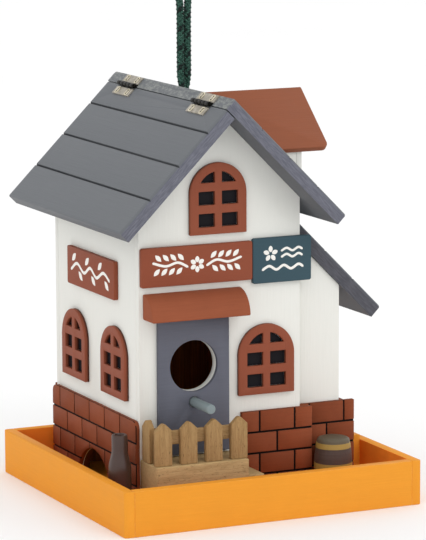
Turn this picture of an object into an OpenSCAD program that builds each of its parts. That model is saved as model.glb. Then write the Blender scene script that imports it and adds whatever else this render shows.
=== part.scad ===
// A hanging wooden birdhouse in a seed tray, with a hinged roof lid for cleaning.
// Origin: centre of the tray's underside. +X to the house's right, +Y to its back, +Z up.

/* [Seed tray] */
// Width of the tray, outside
tray_w = 200; // [195:1:230]
// Depth of the tray, front to back, outside
tray_d = 197; // [195:1:230]
// Height of the tray's boards
tray_h = 28; // [24:1:34]
// Thickness of the tray's boards
tray_t = 6.5; // [5:0.5:8]
// Thickness of the tray's floor
floor_t = 5; // [4:0.5:6]
// Height of the low partition beside the annex
divider_h = 31; // [28:1:36]

/* [House] */
// Left face of the house, from the tray's centre
house_x = -68; // [-70:1:-66]
// Front face of the house, from the tray's centre
house_y = -48; // [-50:1:-46]
// Width of the main house
house_w = 109; // [107:1:111]
// Depth of the main house
house_d = 133; // [131:1:135]
// Thickness of the house walls
wall_t = 5; // [4:0.5:6]
// Diameter of the entrance hole
hole_d = 32; // [28:1:34]
// Height of the entrance hole's centre
hole_z = 90.5; // [86:0.5:95]

/* [Roof] */
// Height of the ridge
ridge_z = 255.4; // [250:0.2:258]
// Thickness of the roof boards
roof_t = 8; // [7:0.5:9]
// Width of one plank between grooves
plank_w = 27; // [26:0.2:28]
// Length of the fixed slope, ridge to eave
fixed_len = 106; // [104:1:108]
// Overhang of the roof in front of the house
roof_front = 23; // [20:1:26]
// Overhang of the roof behind the house
roof_back = 26; // [20:1:28]
// Gap between the lid and the fixed slope
lid_gap = 0.8; // [0.6:0.1:1.2]

/* [Annex] */
// Width of the lean-to annex
annex_w = 30.8; // [29:0.2:32]
// How far the annex stands back from the house front
annex_set = 6.5; // [5:0.5:8]
// X of the annex eave
annex_eave_x = 100; // [98:1:100]
// Height of the annex eave's top edge
annex_eave_z = 116; // [112:1:118]
// Thickness of the annex roof
annex_roof_t = 9; // [7:0.5:9]

/* [Dormer] */
// Height of the dormer's ridge
dormer_z = 250; // [246:1:252]
// Slope of the dormer boards, degrees
dormer_slope = 40.5; // [38:0.5:43]
// Length of a dormer board down its slope
dormer_len = 52; // [48:1:54]
// Thickness of a dormer board
dormer_t = 4; // [3:0.5:5]
// Right end of the dormer boards
dormer_end = 75; // [70:1:78]
// Front face of the dormer's gable wall
dormer_gable_x = 58; // [54:1:60]

/* [Brick plinth] */
// Length of a brick
brick_l = 24.2; // [24:0.1:24.4]
// Height of a course
course_h = 13.3; // [13:0.1:14]
// Number of courses
courses = 4; // [4:1:4]
// Thickness of the plinth boards and of the trim boards
trim_t = 3; // [2.5:0.5:3.5]
// Radius of the feed arch
arch_r = 27; // [24:1:27]

/* [Front] */
// Width of the door panel
door_w = 47.5; // [46:0.5:48]
// Height of the door's lower edge
door_z = 36; // [35.5:0.5:38]
// Radius of the quarter-round awning
awning_r = 15.7; // [14:0.1:16]
// Diameter of the perch
perch_d = 6; // [6:0.5:8]
// Length of the perch in front of the door
perch_out = 25; // [22:1:28]
// Width of a window frame
window_w = 38; // [36:1:40]
// Height of a window frame
window_h = 44; // [42:1:46]

/* [Porch and fence] */
// Width of the porch block
porch_w = 61.5; // [60:0.5:62]
// Height of the porch above the tray's underside
porch_z = 34.7; // [33:0.1:35.4]
// Depth of the porch in front of the wall
porch_d = 26.3; // [24:0.1:28]
// Width of a fence picket
picket_w = 11; // [10:0.5:12]
// Length of a fence picket
picket_l = 26.3; // [24:0.1:28]

/* [Hinges] */
// Length of a hinge
hinge_l = 25; // [22:1:26]
// Radius of the hinge knuckles
knuckle_r = 1.45; // [1.3:0.05:1.5]
// Radius of the hinge pins
pin_r = 0.7; // [0.6:0.05:0.8]

/* [Hidden] */

// The whole model, or one node's name
$fn = 64;
eps = 0.01;
skin = 0.3;  // gap between the lid and what it closes on

house_r = house_x + house_w;
house_b = house_y + house_d;
annex_r = house_r + annex_w;
annex_y = house_y + annex_set;
annex_b = house_b - annex_set;
ridge_x = house_x + house_w / 2;
roof_y = house_y - roof_front;
roof_l = roof_front + house_d + roof_back;
mid_y = house_y + house_d / 2;
diag = sqrt(0.5);
roof_drop = roof_t / diag;  // vertical thickness of a 45 degree board
plinth_h = courses * course_h;
plinth_top = floor_t + plinth_h;
tray_in_x = tray_w / 2 - tray_t;
tray_in_y = tray_d / 2 - tray_t;
tray_corner_r = 2;

door_x = ridge_x - 19.2;      // centre of the door, the hole and the perch
perch_z = hole_z - 22.5;
awning_z = 121.3;             // underside of the awning
side_trim_x = house_x - trim_t;
front_trim_y = house_y - trim_t;

seam = roof_t + lid_gap / 2;  // down the slope from the ridge
pivot_h = 1.7;                // the pin's height above the slope
leaf_t = 0.8;
leaf_w = 6.1;
leaf_in = 1.8;                // from the pin to the leaf's near edge
hinge_front_y = roof_y + roof_l / 2 - 57;
hinge_back_y = roof_y + roof_l / 2 + 57;
knuckles = 5;
knuckle_gap = 0.3;
nail_r = 0.7;
nail_x = 5;                   // from the pin
nail_y = 7.5;                 // from the middle of the hinge

cord_d = 4.7;
cord_x = -7;
cord_y = 18;
cord_hole_r = 5.4;
knot_r = 6.5;
knot_z = 227.9;

wall_white = [0.90, 0.90, 0.88];
roof_grey = [0.46, 0.47, 0.49];
tray_orange = [0.94, 0.62, 0.22];
brick_brown = [0.55, 0.29, 0.20];
trim_brown = [0.58, 0.32, 0.23];
door_grey = [0.37, 0.38, 0.42];
sign_teal = [0.25, 0.33, 0.35];
bare_wood = [0.61, 0.49, 0.32];
dark_wood = [0.29, 0.22, 0.19];
hinge_metal = [0.71, 0.68, 0.60];
cord_green = [0.12, 0.29, 0.22];

// An outline in X and Z, made deep along Y from y0
module deep_y(y0, depth) {
    translate([0, y0 + depth, 0]) rotate([90, 0, 0]) linear_extrude(depth) children();
}

// An outline in Y and Z, made long along X from x0
module long_x(x0, length) {
    translate([x0, 0, 0]) rotate([90, 0, 90]) linear_extrude(length) children();
}

// A box from one corner to the other
module box(low, high) {
    translate(low) cube(high - low);
}

// A rectangle whose corners are round
module round_rect(w, h, r) {
    translate([r, 0]) square([w - 2 * r, h]);
    translate([0, r]) square([w, h - 2 * r]);
    for (x = [r, w - r], y = [r, h - r])
        translate([x, y]) circle(r);
}

// ---- Seed tray ----

module tray_floor() {
    color(tray_orange)
        box([-tray_in_x, -tray_in_y, 0], [tray_in_x, tray_in_y, floor_t]);
}

// The left board, whose two outer corners are round
module tray_side_board() {
    translate([-tray_w / 2, -tray_d / 2, 0]) linear_extrude(tray_h) {
        translate([tray_corner_r, 0]) square([tray_t - tray_corner_r, tray_d]);
        translate([0, tray_corner_r]) square([tray_t, tray_d - 2 * tray_corner_r]);
        for (y = [tray_corner_r, tray_d - tray_corner_r])
            translate([tray_corner_r, y]) circle(tray_corner_r);
    }
}

module tray_left() {
    color(tray_orange) tray_side_board();
}

module tray_right() {
    color(tray_orange) mirror([1, 0, 0]) tray_side_board();
}

module tray_end_board() {
    translate([-tray_in_x, -tray_t / 2, 0]) cube([2 * tray_in_x, tray_t, tray_h]);
}

module tray_front() {
    color(tray_orange) translate([0, -(tray_d - tray_t) / 2, 0]) tray_end_board();
}

module tray_back() {
    color(tray_orange) translate([0, (tray_d - tray_t) / 2, 0]) tray_end_board();
}

module tray_divider() {
    color(tray_orange)
        box([annex_r + trim_t, -28.5, floor_t], [tray_in_x, -22.5, divider_h]);
}

// ---- Walls ----

// Height of the fixed slope's underside above a point, and of the lid's
function under_fixed(x) = ridge_z + ridge_x - x - roof_drop;
function under_lid(x) = ridge_z - ridge_x + x - roof_drop - skin / diag;
function under_annex(x) = annex_eave_z + annex_eave_x - x - annex_roof_t / diag;
function over_fixed(x) = ridge_z + ridge_x - x;

module gable_outline() {
    meet = ridge_x + skin / diag / 2;
    polygon([
        [house_x, floor_t],
        [house_r, floor_t],
        [house_r, under_fixed(house_r)],
        [meet, under_fixed(meet)],
        [house_x, under_lid(house_x)]]);
}

module entrance(y0, depth) {
    translate([door_x, y0, hole_z]) rotate([-90, 0, 0]) cylinder(d = hole_d, h = depth);
}

module perch_bore(y0, depth, slack) {
    translate([door_x, y0, perch_z]) rotate([-90, 0, 0])
        cylinder(d = perch_d + slack, h = depth);
}

// The arch that lets seed out, across the wall and the plinth of the left side
module feed_arch() {
    translate([side_trim_x - 1, mid_y, 1.5]) rotate([0, 90, 0])
        cylinder(r = arch_r, h = trim_t + wall_t + 2);
}

module wall_front() {
    color(wall_white) difference() {
        deep_y(house_y, wall_t) gable_outline();
        entrance(house_y - 1, wall_t + 2);
        perch_bore(house_y - 1, wall_t + 2, 0.1);
    }
}

module wall_back() {
    color(wall_white) deep_y(house_b - wall_t, wall_t) gable_outline();
}

module wall_left() {
    color(wall_white) difference() {
        deep_y(house_y + wall_t, house_d - 2 * wall_t)
            polygon([
                [house_x, floor_t],
                [house_x + wall_t, floor_t],
                [house_x + wall_t, under_lid(house_x + wall_t)],
                [house_x, under_lid(house_x)]]);
        feed_arch();
    }
}

module wall_right() {
    color(wall_white)
        deep_y(house_y + wall_t, house_d - 2 * wall_t)
            polygon([
                [house_r - wall_t, floor_t],
                [house_r, floor_t],
                [house_r, under_fixed(house_r)],
                [house_r - wall_t, under_fixed(house_r - wall_t)]]);
}

// ---- Annex ----

module annex_end(y0) {
    color(wall_white) deep_y(y0, wall_t)
        polygon([
            [house_r, floor_t],
            [annex_r, floor_t],
            [annex_r, under_annex(annex_r)],
            [house_r, under_annex(house_r)]]);
}

module annex_front() {
    annex_end(annex_y);
}

module annex_back() {
    annex_end(annex_b - wall_t);
}

module annex_side() {
    color(wall_white)
        deep_y(annex_y + wall_t, annex_b - annex_y - 2 * wall_t)
            polygon([
                [annex_r - wall_t, floor_t],
                [annex_r, floor_t],
                [annex_r, under_annex(annex_r)],
                [annex_r - wall_t, under_annex(annex_r - wall_t)]]);
}

// ---- Roof ----

plank_groove_w = 1.8;
plank_groove_d = 1.4;
eave_r = 1.5;
verge_r = 2.2;

// A board in X and Z whose top is at 0, with a round far edge and a V groove every
// pitch, counted from first
module grooved_outline(length, thick, first, pitch) {
    difference() {
        union() {
            translate([0, -thick]) square([length - eave_r, thick]);
            translate([0, -thick]) square([length, thick - eave_r]);
            translate([length - eave_r, -eave_r]) circle(eave_r);
        }
        for (s = [first : pitch : length - 6])
            translate([s, 0])
                polygon([
                    [-plank_groove_w / 2, eps],
                    [plank_groove_w / 2, eps],
                    [0, -plank_groove_d]]);
    }
}

// A roof board that starts at the origin and slopes down along +X, round on its two verges
module slope_board(length, thick, first, pitch, y0, width) {
    rotate([0, 45, 0]) intersection() {
        deep_y(y0, width) grooved_outline(length, thick, first, pitch);
        long_x(-1, length + 2) translate([y0, -thick - 6]) round_rect(width, thick + 6, verge_r);
    }
}

module roof_lid() {
    color(roof_grey) difference() {
        translate([ridge_x, 0, ridge_z]) mirror([1, 0, 0]) difference() {
            slope_board(4 * plank_w, roof_t, plank_w, plank_w, roof_y, roof_l);
            rotate([0, 45, 0])
                box([-1, roof_y - 1, -roof_t - 1], [roof_t + lid_gap, roof_y + roof_l + 1, 1]);
        }
        for (y = [hinge_front_y, hinge_back_y]) at_seam(y) nail_shanks(-1);
    }
}

module roof_fixed() {
    color(roof_grey) difference() {
        translate([ridge_x, 0, ridge_z])
            slope_board(fixed_len, roof_t, fixed_len / 4, fixed_len / 4, roof_y, roof_l);
        translate([cord_x, cord_y, ridge_z - 40]) cylinder(r = cord_hole_r, h = 60);
        for (y = [hinge_front_y, hinge_back_y]) at_seam(y) nail_shanks(1);
    }
}

module annex_roof() {
    length = 110;  // longer than the slope, then cut off at the wall
    y0 = annex_y - 2;
    y1 = annex_b + 2;
    color(roof_grey) intersection() {
        translate([annex_eave_x - length * diag, 0, annex_eave_z + length * diag])
            slope_board(length, annex_roof_t, length - 2 * plank_w, plank_w, y0, y1 - y0);
        box([house_r, y0 - 1, 0], [house_r + 100, y1 + 1, 300]);
    }
}

// ---- Dormer ----

// Everything under the top of the fixed slope
module under_slope() {
    deep_y(roof_y, roof_l)
        polygon([[-60, over_fixed(-60)], [120, over_fixed(120)], [120, 0], [-60, 0]]);
}

// The board of the dormer's front slope, cut square at the cord and mitred at the ridge
module dormer_board() {
    color(trim_brown) difference() {
        translate([0, mid_y, dormer_z]) rotate([dormer_slope, 0, 0])
            translate([-20, -dormer_len, -dormer_t]) linear_extrude(dormer_t)
                round_rect(dormer_end + 20, dormer_len + 15, 4);
        box([-30, mid_y, 200], [100, mid_y + 50, 300]);
        box([-30, mid_y - 100, 200], [cord_x + 8.5, mid_y + 1, 300]);
        under_slope();
    }
}

module dormer_roof_front() {
    dormer_board();
}

module dormer_roof_back() {
    translate([0, 2 * mid_y, 0]) mirror([0, 1, 0]) dormer_board();
}

dormer_half = 35.5;
dormer_eave = dormer_z - dormer_half * tan(dormer_slope) - dormer_t / cos(dormer_slope);

module dormer_gable() {
    color(wall_white) difference() {
        long_x(dormer_gable_x - 4, 4)
            polygon([
                [mid_y - dormer_half, 170],
                [mid_y + dormer_half, 170],
                [mid_y + dormer_half, dormer_eave],
                [mid_y, dormer_z - dormer_t / cos(dormer_slope)],
                [mid_y - dormer_half, dormer_eave]]);
        under_slope();
    }
}

module dormer_cheek(y0) {
    color(wall_white) deep_y(y0, 4)
        polygon([
            [ridge_x + ridge_z - dormer_eave, dormer_eave],
            [dormer_gable_x - 4, over_fixed(dormer_gable_x - 4)],
            [dormer_gable_x - 4, dormer_eave]]);
}

module dormer_cheek_front() {
    dormer_cheek(mid_y - dormer_half);
}

module dormer_cheek_back() {
    dormer_cheek(mid_y + dormer_half - 4);
}

// ---- Brick plinth ----

groove_w = 1.2;
groove_d = 0.8;

// A board in X and Z that faces -Y, cut into courses of bricks; shift is where the
// first joint of the top course stands, and top_r rounds the upper corners
module brick_board(length, shift, top_r = 0.5) {
    difference() {
        deep_y(0, trim_t) {
            translate([0, floor_t]) square([length, plinth_h - top_r]);
            translate([0, plinth_top - 3 * top_r]) round_rect(length, 3 * top_r, top_r);
        }
        for (k = [1 : courses - 1])
            translate([-1, -eps, plinth_top - k * course_h - groove_w / 2])
                cube([length + 2, groove_d + eps, groove_w]);
        for (k = [0 : courses - 1])
            for (x = [(shift + (k % 2) * brick_l / 2) % brick_l : brick_l : length - 3])
                if (x > 3)
                    translate([x - groove_w / 2, -eps, plinth_top - (k + 1) * course_h])
                        cube([groove_w, groove_d + eps, course_h + eps]);
    }
}

module plinth_left() {
    color(brick_brown) difference() {
        translate([house_x - trim_t, house_b, 0]) rotate([0, 0, -90])
            brick_board(house_d, brick_l / 2, 4.5);
        feed_arch();
    }
}

module plinth_front() {
    color(brick_brown)
        translate([house_r + 7.2 - 2 * brick_l, front_trim_y, 0])
            brick_board(2 * brick_l, brick_l / 2);
}

// Reaches past the house's right corner, so that no wall shows beside it
module plinth_back() {
    past = annex_set - trim_t + 0.5;
    color(brick_brown)
        translate([house_r + past, house_b + trim_t, 0]) rotate([0, 0, 180])
            brick_board(house_w + past, brick_l / 2);
}

module plinth_annex_front() {
    color(brick_brown)
        translate([house_r + 1.2, annex_y - trim_t, 0])
            brick_board(annex_w + trim_t + 5, 7.3);
}

module plinth_annex_side() {
    color(brick_brown)
        translate([annex_r + trim_t, annex_y, 0]) rotate([0, 0, 90])
            brick_board(annex_b - annex_y, brick_l / 2);
}

module plinth_annex_back() {
    color(brick_brown)
        translate([annex_r + trim_t, annex_b + trim_t, 0]) rotate([0, 0, 180])
            brick_board(annex_w + trim_t, brick_l / 2);
}

// ---- Door, awning, perch, signs and windows ----

module door_panel() {
    color(door_grey) difference() {
        box([door_x - door_w / 2, front_trim_y, door_z],
            [door_x + door_w / 2, house_y, awning_z]);
        entrance(front_trim_y - 1, trim_t + 2);
        perch_bore(front_trim_y - 1, trim_t + 2, 1);
    }
}

module door_awning() {
    color(trim_brown)
        long_x(house_x + 2.5, 65.5)
            translate([house_y, awning_z]) intersection() {
                circle(awning_r, $fn = 96);
                translate([-awning_r, 0]) square([awning_r, awning_r]);
            }
}

module perch() {
    color(door_grey)
        translate([door_x, front_trim_y - perch_out, perch_z]) rotate([-90, 0, 0])
            cylinder(d = perch_d, h = perch_out + trim_t + wall_t);
}

module sign_board(w, h) {
    deep_y(-trim_t, trim_t) round_rect(w, h, 1.5);
}

module sign_side() {
    color(trim_brown)
        translate([house_x, mid_y + 39.5, 128.6]) rotate([0, 0, -90]) sign_board(75, 24.2);
}

module sign_front() {
    color(trim_brown)
        translate([house_x + 0.5, house_y, 141]) sign_board(74.7, 24.2);
}

module sign_corner() {
    color(sign_teal)
        translate([house_x + 75.5, house_y, 138.1]) sign_board(40, 28.2);
}

// An arched frame in X and Z that faces -Y, with four square lights and two in the arch
module window_frame() {
    r = window_w / 2;
    spring = window_h - r;
    bar = 2.4;
    deep_y(-trim_t, trim_t)
        difference() {
            union() {
                translate([-r, 0]) square([window_w, spring]);
                translate([0, spring]) circle(r, $fn = 96);
            }
            for (m = [0, 1]) mirror([m, 0]) {
                for (z = [4.6, 18.2])
                    translate([bar, z]) square([10.8, 8.3]);
                intersection() {
                    translate([0, spring]) circle(13.7, $fn = 96);
                    translate([bar, 31.8]) square([20, 20]);
                }
            }
        }
}

module window_attic() {
    color(trim_brown) translate([ridge_x - 2.2, house_y, 171]) window_frame();
}

module window_front() {
    color(trim_brown) translate([ridge_x + 30.3, house_y, 68.7]) window_frame();
}

module side_window(y, z) {
    color(trim_brown) translate([house_x, y, z]) rotate([0, 0, -90]) window_frame();
}

module window_side_front() {
    side_window(mid_y - 31.5, 68.1);
}

module window_side_back() {
    side_window(mid_y + 31, 68.8);
}

// ---- Porch, fence, bottle and barrel ----

porch_y = house_y - porch_d;
picket_t = 4;
picket_y = porch_y + 2;
picket_pitch = (porch_w - picket_w) / 3;
rail_h = 8.5;
rail_t = 3;

module porch_block() {
    color(bare_wood)
        box([house_x, porch_y, floor_t], [house_x + porch_w, house_y, porch_z]);
}

module porch_step() {
    color(bare_wood)
        box([house_x + porch_w, porch_y + 1, floor_t],
            [house_x + porch_w + 11, front_trim_y, 24]);
}

// A pointed picket in X and Z that faces -Y
module picket() {
    color(bare_wood)
        deep_y(0, picket_t)
            polygon([
                [0, 0],
                [picket_w, 0],
                [picket_w, picket_l - 4.5],
                [picket_w * 0.6, picket_l - 0.4],
                [picket_w * 0.5, picket_l],
                [picket_w * 0.4, picket_l - 0.4],
                [0, picket_l - 4.5]]);
}

module front_picket(k) {
    translate([house_x + k * picket_pitch, picket_y, porch_z]) picket();
}

module picket_1() {
    front_picket(0);
}

module picket_2() {
    front_picket(1);
}

module picket_3() {
    front_picket(2);
}

module picket_4() {
    front_picket(3);
}

module picket_side() {
    translate([house_x, house_y - 3, porch_z]) rotate([0, 0, -90]) picket();
}

module rail_front() {
    color(bare_wood)
        translate([house_x + rail_t + 0.2, picket_y + picket_t, porch_z + 12.2])
            cube([porch_w - rail_t - 0.2, rail_t, rail_h]);
}

module rail_side() {
    color(bare_wood)
        translate([house_x + picket_t, picket_y + picket_t + rail_t, porch_z + 12.2])
            cube([rail_t, porch_d - 2 - picket_t - rail_t, rail_h]);
}

module bottle() {
    color(dark_wood)
        translate([-82.3, house_y - 2, floor_t])
            rotate_extrude($fn = 48)
                polygon([
                    [0, 0], [6.5, 0], [7.1, 0.8], [7.1, 25.5], [6.8, 28.6], [6, 32],
                    [5.2, 34.8], [4.9, 37], [4.9, 46.8], [4.4, 47.4], [0, 47.4]]);
}

// Radius of the barrel at a height, which swells in the middle
barrel_l = 34.4;
function stave_r(z) = 9.8 + 2.2 * (1 - pow(2 * z / barrel_l - 1, 2));

module barrel() {
    color(dark_wood)
        translate([58.8, annex_y - trim_t - 14.5, floor_t])
            rotate_extrude($fn = 48)
                polygon(concat(
                    [[0, 0]],
                    [for (k = [0 : 11]) [stave_r(k * barrel_l / 12), k * barrel_l / 12]],
                    [[stave_r(barrel_l), barrel_l - 1], [stave_r(barrel_l) - 1, barrel_l],
                     [0, barrel_l]]));
}

// ---- Hinges ----

// On the seam between lid and ridge: +X up the lid's slope, +Z out of it
module at_seam(y) {
    translate([ridge_x - seam * diag, y, ridge_z - seam * diag]) rotate([0, -45, 0])
        children();
}

knuckle_l = (hinge_l - (knuckles - 1) * knuckle_gap) / knuckles;

// One leaf with its knuckles; side 1 lies on the ridge and -1 on the lid
module hinge_leaf(side) {
    own = side > 0 ? [0, 2, 4] : [1, 3];
    bore = side > 0 ? pin_r + 0.02 : pin_r + 0.07;
    color(hinge_metal) difference() {
        union() {
            translate([side > 0 ? leaf_in : -leaf_in - leaf_w, -hinge_l / 2, 0])
                cube([leaf_w, hinge_l, leaf_t]);
            for (k = own)
                translate([0, -hinge_l / 2 + k * (knuckle_l + knuckle_gap), 0]) {
                    translate([0, 0, pivot_h]) rotate([-90, 0, 0])
                        cylinder(r = knuckle_r, h = knuckle_l);
                    translate([side > 0 ? 0.5 : -leaf_in - 0.5, 0, 0.3])
                        cube([leaf_in, knuckle_l, leaf_t - 0.3]);
                }
        }
        translate([0, -hinge_l, pivot_h]) rotate([-90, 0, 0])
            cylinder(r = bore, h = 2 * hinge_l);
        for (y = [-nail_y, nail_y])
            translate([side * nail_x, y, -1]) cylinder(r = 1, h = 3);
    }
}

module hinge_leaf_ridge_front() {
    at_seam(hinge_front_y) hinge_leaf(1);
}

module hinge_leaf_ridge_back() {
    at_seam(hinge_back_y) hinge_leaf(1);
}

module hinge_leaf_lid_front() {
    at_seam(hinge_front_y) hinge_leaf(-1);
}

module hinge_leaf_lid_back() {
    at_seam(hinge_back_y) hinge_leaf(-1);
}

module hinge_pin() {
    color(hinge_metal)
        translate([0, -hinge_l / 2 - 0.4, pivot_h]) rotate([-90, 0, 0])
            cylinder(r = pin_r, h = hinge_l + 0.8);
}

module hinge_pin_front() {
    at_seam(hinge_front_y) hinge_pin();
}

module hinge_pin_back() {
    at_seam(hinge_back_y) hinge_pin();
}

module nail_shanks(side) {
    for (y = [-nail_y, nail_y])
        translate([side * nail_x, y, -6]) cylinder(r = nail_r + 0.05, h = 8);
}

// The two nails of one leaf
module nail_pair(side) {
    color(hinge_metal)
        for (y = [-nail_y, nail_y])
            translate([side * nail_x, y, 0])
                rotate_extrude($fn = 32)
                    polygon([
                        [0, -5.8], [nail_r, -5], [nail_r, leaf_t], [1.15, leaf_t],
                        [1.1, leaf_t + 0.3], [0.7, leaf_t + 0.6], [0, leaf_t + 0.7]]);
}

module nails_ridge() {
    for (y = [hinge_front_y, hinge_back_y]) at_seam(y) nail_pair(1);
}

module nails_lid() {
    for (y = [hinge_front_y, hinge_back_y]) at_seam(y) nail_pair(-1);
}

// ---- Hanging cord ----

// Up from the knot, round the hanging loop and back down to the knot
cord_route = [
    [-7, 15.6, 228], [-7, 15.6, 238], [-7.2, 15.6, 243], [-7.6, 15.6, 247],
    [-8.4, 15.9, 251], [-9, 16.6, 255], [-9.3, 17.3, 259], [-9.5, 18, 264],
    [-9.5, 18, 290], [-9.6, 18, 303], [-10.3, 18, 311], [-12, 18, 318],
    [-14.4, 18, 325], [-16.6, 18, 332], [-17.5, 18, 337.7], [-16.8, 18, 341.7],
    [-14.4, 18, 345.2], [-11, 18, 347.4], [-7, 18, 348.2], [-3, 18, 347.4],
    [0.4, 18, 345.2], [2.8, 18, 341.7], [3.5, 18, 337.7], [2.6, 18, 332],
    [0.4, 18, 325], [-2, 18, 318], [-3.7, 18, 311], [-4.4, 18, 303],
    [-4.5, 18, 290], [-4.5, 18, 264], [-4.7, 18.7, 259], [-5, 19.4, 255],
    [-5.6, 20.1, 251], [-6.4, 20.4, 247], [-6.8, 20.4, 243], [-7, 20.4, 238],
    [-7, 20.4, 228]];

function unit(v) = v / norm(v);

// A round tube along a route that stays in about one plane, whose normal is out
module swept_cord(route, r, out, sides = 8) {
    n = len(route);
    rings = [for (i = [0 : n - 1])
        let (along = unit(route[min(i + 1, n - 1)] - route[max(i - 1, 0)]),
             side = unit(cross(along, out)),
             up = cross(side, along))
        for (k = [0 : sides - 1])
            route[i] + r * (cos(360 * k / sides) * side + sin(360 * k / sides) * up)];
    polyhedron(rings, concat(
        [[for (k = [0 : sides - 1]) k]],
        [for (i = [0 : n - 2], k = [0 : sides - 1])
            [i * sides + k, (i + 1) * sides + k,
             (i + 1) * sides + (k + 1) % sides, i * sides + (k + 1) % sides]],
        [[for (k = [sides - 1 : -1 : 0]) (n - 1) * sides + k]]));
}

module hanging_cord() {
    color(cord_green) swept_cord(cord_route, cord_d / 2, [0, 1, 0], 10);
}

module cord_knot() {
    color(cord_green) translate([cord_x, cord_y, knot_z]) sphere(r = knot_r, $fn = 32);
}

tray_floor();
tray_left();
tray_right();
tray_front();
tray_back();
tray_divider();
wall_front();
wall_back();
wall_left();
wall_right();
annex_front();
annex_back();
annex_side();
roof_lid();
roof_fixed();
annex_roof();
dormer_gable();
dormer_cheek_front();
dormer_cheek_back();
dormer_roof_front();
dormer_roof_back();
plinth_left();
plinth_front();
plinth_back();
plinth_annex_front();
plinth_annex_side();
plinth_annex_back();
door_panel();
door_awning();
perch();
sign_side();
sign_front();
sign_corner();
window_attic();
window_front();
window_side_front();
window_side_back();
porch_block();
porch_step();
picket_1();
picket_2();
picket_3();
picket_4();
picket_side();
rail_front();
rail_side();
bottle();
barrel();
hinge_leaf_ridge_front();
hinge_leaf_ridge_back();
hinge_leaf_lid_front();
hinge_leaf_lid_back();
hinge_pin_front();
hinge_pin_back();
nails_ridge();
nails_lid();
hanging_cord();
cord_knot();
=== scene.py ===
"""A painted wooden cottage birdhouse in an orange seed tray: its looks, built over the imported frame."""

import math

import bmesh
import bpy
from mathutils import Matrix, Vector


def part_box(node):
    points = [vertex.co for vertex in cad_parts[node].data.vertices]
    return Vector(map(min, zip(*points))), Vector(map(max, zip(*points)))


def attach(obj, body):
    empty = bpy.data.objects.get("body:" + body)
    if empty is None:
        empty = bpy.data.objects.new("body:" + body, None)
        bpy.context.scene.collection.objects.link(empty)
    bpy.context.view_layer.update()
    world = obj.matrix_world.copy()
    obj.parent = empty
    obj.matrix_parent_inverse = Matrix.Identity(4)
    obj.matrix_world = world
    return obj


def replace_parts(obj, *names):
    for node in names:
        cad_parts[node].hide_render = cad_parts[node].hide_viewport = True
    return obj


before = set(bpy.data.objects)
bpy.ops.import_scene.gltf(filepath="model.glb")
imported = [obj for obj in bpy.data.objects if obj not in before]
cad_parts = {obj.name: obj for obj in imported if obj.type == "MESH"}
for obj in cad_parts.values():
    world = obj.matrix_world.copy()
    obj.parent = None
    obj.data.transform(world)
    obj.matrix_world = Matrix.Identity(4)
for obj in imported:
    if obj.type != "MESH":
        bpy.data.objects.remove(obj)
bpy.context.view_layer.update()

MM = 0.001
UP = Vector((0, 0, 1))
DIAG = math.sqrt(0.5)

# Sizes in millimetres that the solids do not state on their own
BRICK = 24.2
COURSE = 13.3
JOINT_HALF = 0.72
JOINT_DEEP = 0.95
PLANK = 27
FIXED_PLANK = 26.5
ROOF_T = 8
ANNEX_ROOF_T = 9
GROOVE_HALF = 0.9
GROOVE_DEEP = 1.4
EAVE_R = 1.5
PIN_ABOVE_LEAF = 0.9
NAIL_OFF_PIN = 5
NAIL_OFF_MIDDLE = 7.5
BARREL_SWELL = 2.2


# ---------------------------------------------------------------- camera

def make_camera():
    """The photographer's place: in front of the house, to its left and a little above it."""
    data = bpy.data.cameras.new("camera")
    data.lens = 214.7
    data.clip_start = 0.1
    data.clip_end = 30
    camera = bpy.data.objects.new("camera", data)
    camera.location = (-0.8368, -1.8090, 0.4731)
    camera.rotation_euler = [math.radians(a) for a in (80.51, 0.24, -24.97)]
    bpy.context.collection.objects.link(camera)
    bpy.context.scene.camera = camera


make_camera()


# ---------------------------------------------------------------- materials

def paint_rgb(code, gain=1.0):
    """A colour written as RRGGBB, as linear numbers."""
    channels = [int(code[i:i + 2], 16) / 255 for i in (0, 2, 4)]
    linear = [c / 12.92 if c <= 0.04045 else ((c + 0.055) / 1.055) ** 2.4 for c in channels]
    return (*[min(1.0, c * gain) for c in linear], 1.0)


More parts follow.
